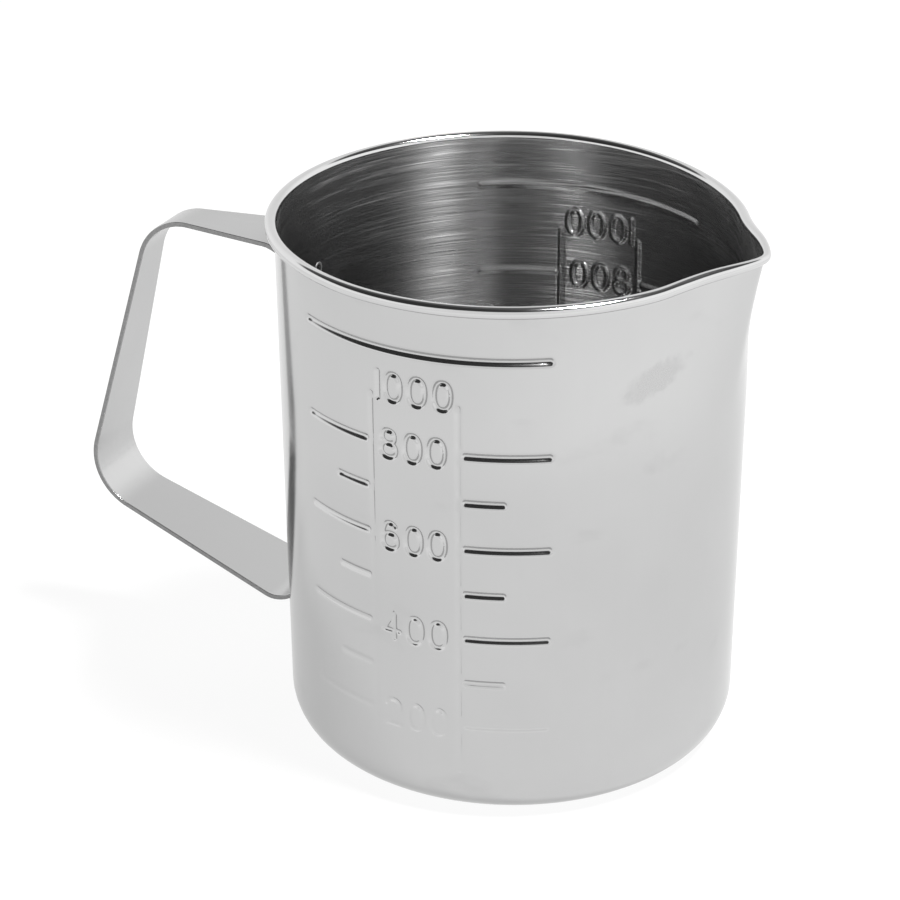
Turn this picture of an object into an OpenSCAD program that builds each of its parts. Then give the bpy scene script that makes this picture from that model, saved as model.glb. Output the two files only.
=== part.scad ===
// One litre steel measuring jug.
// A cup drawn from one sheet has a rolled rim, a pulled spout and a pressed scale on both
// side walls. A bent strip forms the handle, and four spot welds hold it to the cup.
// Millimetres, +Z up, spout towards +X, handle towards -X, origin at the middle of the base.

/* [Cup] */
// Height from the table to the top of the rolled rim
jug_height = 128.5; // [110:0.5:160]
// Outside radius of the wall where its line meets the table
base_radius = 53.3; // [46:0.1:60]
// How much wider the wall's radius is at the rim than at the table
wall_flare = 1; // [0.2:0.1:5]
// Thickness of the steel sheet
sheet = 0.7; // [0.5:0.05:1]
// Outside radius of the bend between base and wall
corner_radius = 10; // [5:0.5:18]

/* [Rolled rim] */
// Diameter of the hollow inside the rolled rim
curl_core = 1.4; // [1:0.1:3]
// Gap left between the end of the roll and the wall
curl_gap = 0.2; // [0.1:0.05:0.4]

/* [Spout] */
// How far the tip of the spout stands out from the round rim
spout_reach = 4.7; // [3:0.1:9]
// Half the width of the spout where its sides run into the rim
spout_half_width = 16; // [12:0.5:22]
// Rounding of the spout's tip
spout_tip_round = 2.1; // [0.5:0.1:4]
// Half the length of the soft bend where each side runs into the rim
spout_side_round = 7; // [3:0.5:9]
// Height over which the spout fades into the wall
spout_depth = 43; // [15:0.5:50]
// How far the rim is drawn in on both sides of the spout
rim_draw_in = 2; // [0:0.1:3.5]

/* [Scale] */
// Volume of the full line in millilitres
full_ml = 1000; // [800:100:1000]
// Volume between two marks in millilitres
step_ml = 100; // [50:50:200]
// Volume of the lowest mark in millilitres
first_ml = 200; // [100:100:400]
// Width of a pressed mark on the outside
mark_width = 1.7; // [0.8:0.1:2]
// Depth of a pressed mark
mark_depth = 0.65; // [0.2:0.05:0.65]
// Distance along the wall from the middle of the scale to each upright line
upright_offset = 10.4; // [8:0.1:14]
// Distance along the wall from an upright line to the start of a mark
mark_gap = 1.5; // [1.4:0.1:3]
// Length of a mark at an even hundred
long_mark = 18.4; // [10:0.1:22]
// Length of a mark at an odd hundred
short_mark = 8.4; // [4:0.1:12]
// Distance from the end of the base bend up to the lower end of the upright lines
upright_rise = 3; // [1:0.5:10]
// Distance from the full line down to the upper end of the upright lines
upright_drop = 10.6; // [6:0.1:16]

/* [Handle] */
// Thickness of the handle strip
strip = 1.2; // [0.8:0.1:2]
// Width of the strip where the upper arm meets the wall
strip_width_top = 16.6; // [12:0.1:22]
// Width of the strip at the upper outer bend, where it is narrowest
strip_width_bend = 10.4; // [9:0.1:20]
// Width of the strip at the lower outer bend
strip_width_low = 17.3; // [10:0.1:24]
// Width of the strip where the lower arm meets the wall
strip_width_foot = 22.2; // [14:0.1:26]
// Distance from the top of the rim down to the upper arm
arm_drop = 14.3; // [9:0.1:24]
// Distance from the wall to the upper outer bend
upper_reach = 38.7; // [28:0.1:50]
// Distance from the wall to the lower outer bend
lower_reach = 59.2; // [45:0.1:70]
// Height of the lower outer bend above the table
lower_bend_z = 40.5; // [34:0.5:55]
// Height of the lower arm above the table where it meets the wall
foot_z = 18; // [15:0.5:28]
// Bend radius at the upper outer corner, at the middle of the strip
upper_bend = 13; // [6:0.5:18]
// Bend radius at the lower outer corner, at the middle of the strip
lower_bend = 13.5; // [7:0.5:20]
// Bend radius where the upper arm turns down the wall, at the middle of the strip
upper_root_bend = 6.5; // [3:0.1:9]
// Bend radius where the lower arm turns up the wall, at the middle of the strip
lower_root_bend = 5.5; // [3:0.1:8]
// Length of the flat that is welded to the wall at each end, beyond its bend
tab_length = 7; // [6:0.5:20]

/* [Spot welds] */
// Diameter of a weld
weld_d = 3.5; // [2.5:0.25:4.5]
// Depth of a weld in the wall and in the strip
weld_depth = 0.3; // [0.15:0.05:0.4]
// Distance from the cut end of the strip to the middle of a weld
weld_edge = 4; // [2.75:0.25:4]
// Distance from the side of the strip to the middle of a weld
weld_side = 3; // [2.75:0.25:4]

/* [Hidden] */
$fn = 96;

// Play all round a weld in its seat
weld_play = 0.05;
// Play between the welded ends of the strip and the wall
seat_play = 0.02;
// Sides of the small circles that press the marks
mark_sides = 24;
// Counts of the steps on curves
corner_steps = 6;
curl_steps = 14;
spout_wall_steps = 12;
bend_steps = 7;
strip_columns = 8;
// Angle on each side of the spout that the spout's part of the cup takes up, and its columns
sector = 54;
sector_columns = 42;
// The columns stand closer together towards the tip by this power
column_power = 1.35;
// The spout's lean grows with height by this power
lean_power = 1.75;
// Share of the spout's angle at which the drawn-in rim starts to come back to round
draw_back_share = 0.42;

// Cup
bead_r = curl_core / 2 + sheet;
bead_z = jug_height - bead_r;
function wall_r(z) = base_radius + wall_flare * z / jug_height;
bead_axis_r = wall_r(bead_z) - sheet + bead_r;
curl_end = -acos(-(bead_r - sheet - curl_gap) / bead_r);
corner_axis_r = wall_r(corner_radius) - corner_radius;
spout_low_z = jug_height - spout_depth;
spout_full_z = bead_z - bead_r;

// The sheet's section is a list of pairs: a point on the outer face and one on the inner face
function around(r, a) = [r * cos(a), r * sin(a)];
corner_axis = [corner_axis_r, corner_radius];
bead_axis = [bead_axis_r, bead_z];
base_pairs = [[[0, 0], [0, sheet]]];
corner_pairs = [
    for (i = [0 : corner_steps])
        let (a = -90 + 90 * i / corner_steps)
            [corner_axis + around(corner_radius, a), corner_axis + around(corner_radius - sheet, a)]
];
wall_pairs = [
    for (i = [0 : spout_wall_steps - 1])
        let (z = spout_low_z + (bead_z - spout_low_z) * i / spout_wall_steps)
            [[wall_r(z), z], [wall_r(z) - sheet, z]]
];
curl_pairs = [
    for (i = [0 : curl_steps])
        let (a = 180 + (curl_end - 180) * i / curl_steps)
            [bead_axis + around(bead_r - sheet, a), bead_axis + around(bead_r, a)]
];
sheet_pairs = concat(base_pairs, corner_pairs, wall_pairs, curl_pairs);
pair_last = len(sheet_pairs) - 1;
sheet_outline = concat(
    [for (p = sheet_pairs) p[0]],
    [for (i = [pair_last : -1 : 0]) sheet_pairs[i][1]]
);

// Spout: how far the rim moves out at an angle from the spout, and how much of that at a height
function side_line(y) =
    let (run = sqrt(y * y + spout_tip_round * spout_tip_round) - spout_tip_round)
    let (left = spout_half_width - run)
    left >= spout_side_round ? left
    : left <= -spout_side_round ? 0
    : pow(left + spout_side_round, 2) / (4 * spout_side_round);
function draw_back(share) =
    share < draw_back_share ? 1
    : (1 + cos(180 * (share - draw_back_share) / (1 - draw_back_share))) / 2;
function rim_shift(a) =
    let (inward = rim_draw_in * draw_back(abs(a) / sector))
    let (y = bead_axis_r * sin(abs(a)))
    (spout_reach + rim_draw_in) * side_line(y) / side_line(0) - inward;
function lean(z) =
    z <= spout_low_z ? 0
    : z >= spout_full_z ? 1
    : pow((z - spout_low_z) / (spout_full_z - spout_low_z), lean_power);
function spout_point(p, a) =
    let (r = p[0] + rim_shift(a) * lean(p[1]))
    [r * cos(a), r * sin(a), p[1]];
function column_angle(k) =
    let (share = 2 * k / sector_columns - 1)
    sector * sign(share) * pow(abs(share), column_power);

// Scale: the height of the water for a volume in millilitres, from the cup's own inside
wall_lean = wall_flare / jug_height;
inner_corner = corner_radius - sheet;
inner_corner_r = wall_r(corner_radius) - sheet;
inner_flat_r = inner_corner_r - inner_corner;
mm3_per_ml = 1000;
corner_volume = PI * (
    pow(inner_flat_r, 2) * inner_corner
    + inner_flat_r * PI * pow(inner_corner, 2) / 2
    + 2 * pow(inner_corner, 3) / 3
);
function water_z(ml) =
    let (rest = 3 * wall_lean * (ml * mm3_per_ml - corner_volume) / PI)
    corner_radius + (pow(pow(inner_corner_r, 3) + rest, 1 / 3) - inner_corner_r) / wall_lean;
function wall_angle(run) = run / base_radius * 180 / PI;
upright_angle = wall_angle(upright_offset);
mark_start = wall_angle(upright_offset + mark_gap);
long_angle = wall_angle(long_mark);
short_angle = wall_angle(short_mark);
groove_r = (pow(mark_width / 2, 2) + pow(mark_depth, 2)) / (2 * mark_depth);
groove_out = groove_r - mark_depth;
ridge_r = groove_r + sheet;

// The marks that lie on the straight wall; the topmost one runs all the way across
function on_wall(ml) =
    water_z(ml) - ridge_r > corner_radius && water_z(ml) + ridge_r < spout_full_z;
top_ml = max([for (ml = [first_ml : 2 * step_ml : full_ml]) if (on_wall(ml)) ml]);
marks_ml = [for (ml = [first_ml : step_ml : top_ml - 2 * step_ml]) if (on_wall(ml)) ml];
upright_foot = corner_radius + upright_rise;
upright_top = water_z(top_ml) - upright_drop;

// Handle: the middle of the strip as corners with bend radii
arm_z = jug_height - arm_drop - strip / 2;
low_arm_z = foot_z + strip / 2;
function seat_r(z) = wall_r(z) + seat_play + strip / 2;
low_arm_slope = atan2(lower_bend_z - low_arm_z, lower_reach);
top_tab_z = arm_z - upper_root_bend - tab_length;
low_tab_z = low_arm_z + lower_root_bend * tan((90 + low_arm_slope) / 2) + tab_length;
strip_corners = [
    [seat_r(top_tab_z), top_tab_z],
    [seat_r(arm_z), arm_z],
    [seat_r(arm_z) + upper_reach, arm_z],
    [seat_r(lower_bend_z) + lower_reach, lower_bend_z],
    [seat_r(low_arm_z), low_arm_z],
    [seat_r(low_tab_z), low_tab_z]
];
strip_bends = [0, upper_root_bend, upper_bend, lower_bend, lower_root_bend, 0];
strip_widths = [
    strip_width_top, strip_width_top, strip_width_bend,
    strip_width_low, strip_width_foot, strip_width_foot
];
corner_last = len(strip_corners) - 1;
function heading(v) = atan2(v[1], v[0]);
function turn_of(a, b) = let (d = b - a) d - 360 * round(d / 360);

// Stations along the strip: middle point, heading, how much it follows the round wall, width
function bend_stations(i) =
    let (
        here = strip_corners[i],
        a_in = heading(here - strip_corners[i - 1]),
        a_out = heading(strip_corners[i + 1] - here),
        turn = turn_of(a_in, a_out),
        cut = strip_bends[i] * tan(abs(turn) / 2),
        start = here - cut * around(1, a_in),
        axis = start + strip_bends[i] * around(1, a_in + 90 * sign(turn))
    )
    [
        for (k = [0 : bend_steps])
            let (a = a_in + turn * k / bend_steps)
            let (hug = i == 1 ? 1 - k / bend_steps : i == corner_last - 1 ? k / bend_steps : 0)
                [axis + strip_bends[i] * around(1, a - 90 * sign(turn)), a, hug, strip_widths[i]]
    ];
end_heading = heading(strip_corners[1] - strip_corners[0]);
strip_stations = concat(
    [[strip_corners[0], end_heading, 1, strip_widths[0]]],
    [for (i = [1 : corner_last - 1]) each bend_stations(i)],
    [[strip_corners[corner_last], end_heading, 1, strip_widths[corner_last]]]
);
function strip_point(s, side, share) =
    let (
        p = s[0] + side * strip / 2 * around(1, s[1] + 90),
        y = (share - 1 / 2) * s[3],
        sag = s[2] * (p[0] - sqrt(p[0] * p[0] - y * y))
    )
    [-(p[0] - sag), y, p[1]];
function strip_ring(s) = concat(
    [for (j = [0 : strip_columns]) strip_point(s, 1, j / strip_columns)],
    [for (j = [strip_columns : -1 : 0]) strip_point(s, -1, j / strip_columns)]
);
// Welds: height and distance along the wall from the middle of the strip
weld_places = [
    for (side = [-1, 1])
        each [
            [top_tab_z + weld_edge, side * (strip_width_top / 2 - weld_side)],
            [low_tab_z - weld_edge, side * (strip_width_foot / 2 - weld_side)]
        ]
];

// A closed skin between rings of equal count, with strips of triangles across both ends
module skin(rings) {
    count = len(rings[0]);
    last = len(rings) - 1;
    points = [for (ring = rings) each ring];
    sides = [
        for (i = [0 : last - 1], j = [0 : count - 1])
            let (a = i * count + j, b = i * count + (j + 1) % count)
                each [[a, b, b + count], [a, b + count, a + count]]
    ];
    ends = [
        for (j = [0 : count / 2 - 2])
            let (a = j, b = j + 1, c = count - 2 - j, d = count - 1 - j, e = last * count)
                each [[a, c, b], [a, d, c], [e + a, e + b, e + c], [e + a, e + c, e + d]]
    ];
    polyhedron(points, concat(sides, ends), convexity = 10);
}

// The cup all round but for the spout's part
module round_cup() {
    rotate([0, 0, sector])
        rotate_extrude(angle = 360 - 2 * sector)
            polygon(sheet_outline);
}

// The spout's part of the cup: the sheet's section carried round and leaned outwards
module spout_part() {
    count = len(sheet_outline);
    axis_low = 0;
    axis_top = 1;
    ring = count - 2;
    columns = [for (k = [0 : sector_columns]) column_angle(k)];
    points = concat(
        [[0, 0, 0], [0, 0, sheet]],
        [for (a = columns, i = [1 : count - 2]) spout_point(sheet_outline[i], a)]
    );
    function at(k, i) = 2 + k * ring + i;
    faces = [
        for (k = [0 : sector_columns - 1])
            each concat(
                [
                    [axis_low, at(k, 0), at(k + 1, 0)],
                    [axis_top, at(k + 1, ring - 1), at(k, ring - 1)]
                ],
                [
                    for (i = [0 : ring - 2])
                        each [
                            [at(k, i), at(k, i + 1), at(k + 1, i + 1)],
                            [at(k, i), at(k + 1, i + 1), at(k + 1, i)]
                        ]
                ]
            )
    ];
    function end_strip(k) = [
        for (i = [0 : ring / 2 - 2])
            each [
                [at(k, i), at(k, ring - 1 - i), at(k, ring - 2 - i)],
                [at(k, i), at(k, ring - 2 - i), at(k, i + 1)]
            ]
    ];
    function end_foot(k) = [
        [axis_low, axis_top, at(k, ring - 1)],
        [axis_low, at(k, ring - 1), at(k, 0)]
    ];
    function flipped(list) = [for (f = list) [f[0], f[2], f[1]]];
    ends = concat(
        end_strip(0),
        end_foot(0),
        flipped(end_strip(sector_columns)),
        flipped(end_foot(sector_columns))
    );
    polyhedron(points, concat(faces, ends), convexity = 10);
}

// Section of a pressed mark, with the wall's outer face at zero: a round groove from outside,
// or the inner half of the ridge that it raises inside
module mark_section(inside) {
    intersection() {
        translate([groove_out, 0])
            circle(r = inside ? ridge_r : groove_r, $fn = mark_sides);
        if (inside)
            translate([-sheet / 2 - ridge_r, -ridge_r])
                square([ridge_r, 2 * ridge_r]);
    }
}

// A mark round the wall from one angle to another, measured from the middle of the scale
module ring_mark(z, from, to, inside) {
    rotate([0, 0, from - 90])
        rotate_extrude(angle = to - from)
            translate([wall_r(z), z])
                mark_section(inside);
}

// An upright line that follows the lean of the wall
module upright_line(angle, inside) {
    rotate([0, 0, angle - 90])
        translate([wall_r(upright_foot), 0, upright_foot])
            rotate([0, atan(wall_lean), 0])
                linear_extrude(upright_top - upright_foot)
                    mark_section(inside);
}

// The pressed scale of one wall: grooves outside, or the ridges that they make inside
module scale_marks(inside) {
    ring_mark(water_z(top_ml), -mark_start - long_angle, mark_start + long_angle, inside);
    for (ml = marks_ml) {
        length = ml % (2 * step_ml) == 0 ? long_angle : short_angle;
        ring_mark(water_z(ml), mark_start, mark_start + length, inside);
        ring_mark(water_z(ml), -mark_start - length, -mark_start, inside);
    }
    upright_line(upright_angle, inside);
    upright_line(-upright_angle, inside);
}

// The scale is on both side walls, for either hand
module both_walls() {
    children();
    rotate([0, 0, 180]) children();
}

// Seats of the welds, or the welds themselves when the play is taken off
module weld_slugs(play) {
    for (place = weld_places)
        rotate([0, 0, wall_angle(place[1])])
            translate([-wall_r(place[0]) - weld_depth, 0, place[0]])
                rotate([0, 90, 0])
                    cylinder(d = weld_d - 2 * play, h = 2 * weld_depth);
}

module cup() {
    color("lightgray")
        difference() {
            union() {
                round_cup();
                spout_part();
                both_walls() scale_marks(true);
            }
            both_walls() scale_marks(false);
            weld_slugs(0);
        }
}

module handle() {
    color("silver")
        difference() {
            skin([for (s = strip_stations) strip_ring(s)]);
            weld_slugs(0);
        }
}

module spot_welds() {
    color("gray")
        weld_slugs(weld_play);
}

cup();
handle();
spot_welds();
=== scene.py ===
# %% [markdown]
# # A one litre steel measuring jug
# The real jug is two pieces of stainless sheet. The cup is drawn from a round blank and has a rolled
# rim, a pulled spout and a pressed scale on both side walls. The handle is a bent strip, held by four
# spot welds. Their solids come in as a fixed frame in metres: the origin is the middle of the base,
# the spout points to +X and the handle to -X. Each piece below is made in that frame and takes the
# place of one of the solids, which is hidden, so nothing is placed by eye.

# %% Load the frame
import math
from collections import namedtuple

import bpy
import numpy as np
from mathutils import Matrix, Vector
from mathutils.geometry import delaunay_2d_cdt


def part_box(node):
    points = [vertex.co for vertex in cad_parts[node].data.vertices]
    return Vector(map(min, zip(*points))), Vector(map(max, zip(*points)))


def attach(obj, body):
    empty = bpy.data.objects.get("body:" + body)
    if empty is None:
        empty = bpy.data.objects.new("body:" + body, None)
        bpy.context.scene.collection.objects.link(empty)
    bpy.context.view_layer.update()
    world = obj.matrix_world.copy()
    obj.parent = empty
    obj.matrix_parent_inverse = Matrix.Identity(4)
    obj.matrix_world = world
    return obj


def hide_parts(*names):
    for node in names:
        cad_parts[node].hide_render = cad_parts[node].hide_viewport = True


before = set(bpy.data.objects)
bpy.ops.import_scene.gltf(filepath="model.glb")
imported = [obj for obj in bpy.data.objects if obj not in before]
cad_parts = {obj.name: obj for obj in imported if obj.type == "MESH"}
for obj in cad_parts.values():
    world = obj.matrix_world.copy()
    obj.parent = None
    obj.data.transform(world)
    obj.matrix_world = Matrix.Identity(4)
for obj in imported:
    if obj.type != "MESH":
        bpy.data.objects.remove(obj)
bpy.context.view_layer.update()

MM = 0.001

# %% [markdown]
# ## The camera
# The view looks down at the jug by 26 degrees, from the side of the spout, through a long lens, so
# upright edges stay nearly parallel. A camera could be turned by hand until it looks right. Here its
# place, its aim and a small roll are written down, so the framing is the same on every run.

# %% Set up the camera
EYE = Vector((232.5, -530.9, 350.9)) * MM
AIM = Vector((-12.4, -5.8, 68.2)) * MM
ROLL = math.radians(-0.22)
SENSOR_WIDTH = 36.0
FOCAL_LENGTH = 109.6
SHIFT_X = -0.0051
SHIFT_Y = 0.0022


def stand_in_scene(name, data):
    """A new object, linked to the scene."""
    thing = bpy.data.objects.new(name, data)
    bpy.context.scene.collection.objects.link(thing)
    return thing


lens = bpy.data.cameras.new("camera")
lens.sensor_width = SENSOR_WIDTH
lens.lens = FOCAL_LENGTH
lens.shift_x = SHIFT_X
lens.shift_y = SHIFT_Y
camera = stand_in_scene("camera", lens)
facing = (EYE - AIM).to_track_quat("Z", "Y").to_matrix()
camera.rotation_euler = (facing @ Matrix.Rotation(ROLL, 3, "Z")).to_euler()
camera.location = EYE
bpy.context.scene.camera = camera
bpy.context.scene.view_settings.view_transform = "Standard"
print("camera stands", round((EYE - AIM).length / MM), "mm from the jug")

# %% [markdown]
# ## A bench for node trees
# Finishes, the studio and the pieces are all node trees. Linking sockets by hand is long and hard to
# read, so one class wraps a socket and turns Python sums into Math nodes, and one method adds any
# other node: its settings first, then the values or links of its sockets.

# %% Wires for sums
class Wire:
    """An output socket that takes part in sums."""

    def __init__(self, bench, socket):
        self.bench = bench
        self.socket = socket

    def math(self, operation, *others):
        return self.bench.sum_of(operation, self, *others)

    def __add__(self, other):
        return self.math("ADD", other)

    def __sub__(self, other):
        return self.math("SUBTRACT", other)

    def __mul__(self, other):
        return self.math("MULTIPLY", other)

    def __truediv__(self, other):
        return self.math("DIVIDE", other)

    def __pow__(self, other):
        return self.math("POWER", other)

    def __rsub__(self, other):
        return self.bench.sum_of("SUBTRACT", other, self)

    def __rtruediv__(self, other):
        return self.bench.sum_of("DIVIDE", other, self)

    def __rpow__(self, other):
        return self.bench.sum_of("POWER", other, self)

    __radd__ = __add__
    __rmul__ = __mul__

    def beside(self, name):
        """Another output of the same node."""
        return Wire(self.bench, self.socket.node.outputs[name])


print("wires can be added, taken away, multiplied, divided and raised to a power")

# %% The node bench
class Bench:
    """A node tree that is being built."""

    def __init__(self, tree):
        self.tree = tree

    def node(self, kind, settings=None, sockets=None, out=0):
        made = self.tree.nodes.new(kind)
        for name, value in (settings or {}).items():
            setattr(made, name, value)
        for key, value in (sockets or {}).items():
            for one in value if isinstance(value, list) else [value]:
                if isinstance(one, Wire):
                    self.tree.links.new(one.socket, made.inputs[key])
                else:
                    made.inputs[key].default_value = one
        return Wire(self, made.outputs[out]) if made.outputs else None

    def sum_of(self, operation, *values):
        return self.node("ShaderNodeMath", {"operation": operation}, dict(enumerate(values)))

    def ease(self, value, start, stop, low=0.0, high=1.0):
        """A soft step from low to high as the value goes from start to stop."""
        ends = {"Value": value, "From Min": start, "From Max": stop, "To Min": low, "To Max": high}
        return self.node("ShaderNodeMapRange", {"interpolation_type": "SMOOTHSTEP"}, ends)

    def split(self, vector):
        first = self.node("ShaderNodeSeparateXYZ", {}, {0: vector})
        return first, first.beside("Y"), first.beside("Z")

    def join(self, x, y, z):
        return self.node("ShaderNodeCombineXYZ", {}, {"X": x, "Y": y, "Z": z})

    def vector(self, operation, first, second=(0.0, 0.0, 0.0)):
        return self.node("ShaderNodeVectorMath", {"operation": operation}, {0: first, 1: second})

    def noise(self, vector, scale, detail):
        return self.node("ShaderNodeTexNoise", {}, {"Vector": vector, "Scale": scale, "Detail": detail})

    def stretched(self, parts, scales, detail):
        """Noise with a scale of its own along each axis."""
        spread = [part * scale for part, scale in zip(parts, scales)]
        return self.noise(self.join(*spread), 1.0, detail)

    def bump(self, height):
        """A normal that follows a height in metres."""
        return self.node("ShaderNodeBump", {}, {"Height": height, "Strength": 1.0, "Distance": 1.0})

    def grey(self, share, low, high):
        """A grey between two levels."""
        ends = {0: share, 6: (low, low, low, 1.0), 7: (high, high, high, 1.0)}
        return self.node("ShaderNodeMix", {"data_type": "RGBA"}, ends, 2)

    def named(self, name):
        """A value that was stored on the points."""
        kind = "GeometryNodeInputNamedAttribute"
        return self.node(kind, {"data_type": "FLOAT"}, {"Name": name}, "Attribute")


def bench_for(owner):
    """An empty bench for the nodes of a world or a material."""
    owner.use_nodes = True
    owner.node_tree.nodes.clear()
    return Bench(owner.node_tree)


print("node bench ready")

# %% [markdown]
# ## The studio
# Polished steel has little colour of its own: it shows its room. The jug stood on a white table with
# white boards all round, higher at the back, lower on the left and lit more at the two sides. Above
# them the room was dark, a little less so at the back, and one soft box hung overhead, to the right.
# The boards could be modelled, but a sky that is white up to a given height is simpler, and it says
# in one place what the steel can see. A direction's share towards the camera or the left goes from
# -1 to 1, and each span says between which shares the sky changes.

# %% White boards under a dark room
BOARD_LEVEL = 1.0
BOARD_TOP = math.radians(38)
BOARD_TOP_BACK = math.radians(49)
BOARD_EDGE = math.radians(4)
BACK_SPAN = -0.9, -0.4
LEFT_SPAN = 0.2, 0.8
LEFT_DROP = math.radians(10)
LEFT_GAIN = 0.2
RIGHT_SPAN = -0.3, -0.9
RIGHT_GAIN = 0.3
ROOM_LEVEL = 0.045
ROOM_LEVEL_BACK = 0.15
ROOM_SPAN = -0.9, -0.2
LEAST_RUN = 0.0001

world = bpy.data.worlds.new("studio")
bpy.context.scene.world = world
sky = bench_for(world)
look_x, look_y, look_z = sky.split(sky.node("ShaderNodeTexCoord", {}, {}, "Generated"))
level_run = (1.0 - look_z * look_z).math("MAXIMUM", LEAST_RUN) ** 0.5
camera_side = Vector((EYE.x, EYE.y)).normalized()
towards = (look_x * camera_side.x + look_y * camera_side.y) / level_run
leftwards = (look_x * camera_side.y - look_y * camera_side.x) / level_run
on_left = sky.ease(leftwards, *LEFT_SPAN)
board_top = sky.ease(towards, *BACK_SPAN, BOARD_TOP_BACK, BOARD_TOP) - on_left * LEFT_DROP
board = BOARD_LEVEL + on_left * LEFT_GAIN + sky.ease(leftwards, *RIGHT_SPAN, 0.0, RIGHT_GAIN)
room = sky.ease(towards, *ROOM_SPAN, ROOM_LEVEL_BACK, ROOM_LEVEL)
above = sky.ease(look_z.math("ARCSINE"), board_top - BOARD_EDGE, board_top + BOARD_EDGE)
seen_by = sky.node("ShaderNodeLightPath", {}, {}, "Is Camera Ray")
glow = board + above * (room - board)
shown = seen_by + (1.0 - seen_by) * glow
background = sky.node("ShaderNodeBackground", {}, {"Color": sky.join(shown, shown, shown)})
sky.node("ShaderNodeOutputWorld", {}, {"Surface": background})
print("boards are white up to", round(math.degrees(BOARD_TOP_BACK)), "degrees at the back")

# %% [markdown]
# The soft box is a flat lamp, and it makes the bright band on the brushed inside. It could be a
# bright patch of the sky, but a lamp gives less noise and hangs at a real distance. Its place is
# given to the right, to the back and up, as the camera sees it.

# %% Soft box overhead
BOX_PLACE = Vector((0.365, -0.17, 0.97))
BOX_WIDTH = 0.19
BOX_DEPTH = 0.32
BOX_POWER = 31.0

lamp = bpy.data.lights.new("soft_box", "AREA")
lamp.shape = "RECTANGLE"
lamp.size = BOX_WIDTH
lamp.size_y = BOX_DEPTH
lamp.energy = BOX_POWER
soft_box = stand_in_scene("soft_box", lamp)
box_turn = Matrix.Rotation(math.atan2(camera_side.x, -camera_side.y), 3, "Z")
soft_box.location = box_turn @ BOX_PLACE
soft_box.rotation_euler = box_turn.to_euler()
print("soft box hangs at", [round(c, 2) for c in soft_box.location])

# %% [markdown]
# The table is a wide plain disc. A lit white surface never quite reaches white in the picture, so
# the part of it that the camera and the steel see also glows a little. The glow that the steel sees
# is dimmer close to the jug: a painted shade round its foot. It still receives light, so the jug's
# soft shadow stays.

# %% White table
TABLE_RADIUS = 3.0
TABLE_SIDES = 96
TABLE_GREY = 0.085
TABLE_GLOW = 0.92
TABLE_IN_STEEL = 0.91
SHADED_SPAN = 0.08, 0.36
SHADED_SHARE = 0.87


def new_thing(name, points, edges=(), faces=()):
    """A new object with a mesh of these points."""
    mesh = bpy.data.meshes.new(name)
    mesh.from_pydata(points, edges, faces)
    return stand_in_scene(name, mesh)


turns = [math.tau * i / TABLE_SIDES for i in range(TABLE_SIDES)]
table_edge = [(TABLE_RADIUS * math.cos(a), TABLE_RADIUS * math.sin(a), 0.0) for a in turns]
table = new_thing("table", table_edge, [], [range(TABLE_SIDES)])
table_paint = bpy.data.materials.new("white_table")
bench = bench_for(table_paint)
seen = bench.node("ShaderNodeLightPath", {}, {}, "Is Camera Ray")
mirrored = seen.beside("Is Glossy Ray").math("MAXIMUM", seen.beside("Is Transmission Ray"))
lit = bench.node("ShaderNodeBsdfDiffuse", {}, {"Color": (TABLE_GREY, TABLE_GREY, TABLE_GREY, 1.0)})
foot_x, foot_y, _ = bench.split(bench.node("ShaderNodeTexCoord", {}, {}, "Object"))
# Painted shade: the glow that the steel sees is dimmer close to the jug's foot.
shade = bench.ease((foot_x * foot_x + foot_y * foot_y) ** 0.5, *SHADED_SPAN, SHADED_SHARE, 1.0)
strength = seen * TABLE_GLOW + mirrored * shade * TABLE_IN_STEEL
shine = bench.node("ShaderNodeEmission", {}, {"Strength": strength})
both = bench.node("ShaderNodeAddShader", {}, {0: lit, 1: shine})
bench.node("ShaderNodeOutputMaterial", {}, {"Surface": both})
table.data.materials.append(table_paint)
print("table", TABLE_RADIUS, "m in radius")

# %% [markdown]
# ## The finishes
# All pieces are the same stainless steel, told apart by how they were finished. The outside of the
# wall is polished to an even satin, the inside is brushed round the axis, the rolled rim is bright,
# the strip is satin with sheared edges, and the welds are dull. Each finish is a function that takes
# the piece's own coordinates and returns a colour, a roughness and a normal.

# %% Shared steel
def steel(name, finish, fixed=None):
    """A steel with this finish. The fixed values are the same all over it."""
    material = bpy.data.materials.new(name)
    bench = bench_for(material)
    place = bench.node("ShaderNodeTexCoord", {}, {}, "Object")
    colour, roughness, normal = finish(bench, place)
    sockets = {"Base Color": colour, "Roughness": roughness, "Metallic": 1.0, "Normal": normal}
    shader = bench.node("ShaderNodeBsdfPrincipled", {}, {**sockets, **(fixed or {})})
    bench.node("ShaderNodeOutputMaterial", {}, {"Surface": shader})
    print("finish", name, "has", len(material.node_tree.nodes), "nodes")
    return material


print("steel is ready for its finishes")

# %% [markdown]
# The satin of the outside is nearly even. A close look shows soft clouds, faint lines drawn up the
# wall, a few rubbed spots and one dull scuff below the spout. A photograph of worn steel could be
# wrapped round the wall, but noise at a few scales keeps its sharpness at any distance.

# %% Satin outside of the wall
WALL_RUN_RADIUS = 53.8 * MM
OUTSIDE_GREYS = 0.50, 0.575
CLOUD_SCALE = 22.0
CLOUD_HEIGHT = 0.004 * MM
DRAG_SCALES = 700.0, 700.0, 12.0
DRAG_HEIGHT = 0.0003 * MM
RUB_SCALES = 55.0, 55.0, 90.0
RUB_SPAN = 0.58, 0.74
SCUFF_ANGLE = math.radians(-31)
SCUFF_Z = 106.8 * MM
SCUFF_TILT = math.radians(16)
SCUFF_LENGTH = 10.5 * MM
SCUFF_WIDTH = 3.6 * MM
SCUFF_SPAN = 1.2, 0.1
RAGGED_SCALE = 420.0
GRAIN_SCALE = 2400.0
CALM_EDGE = {"Specular Tint": (0.92, 0.92, 0.92, 1.0)}


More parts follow.
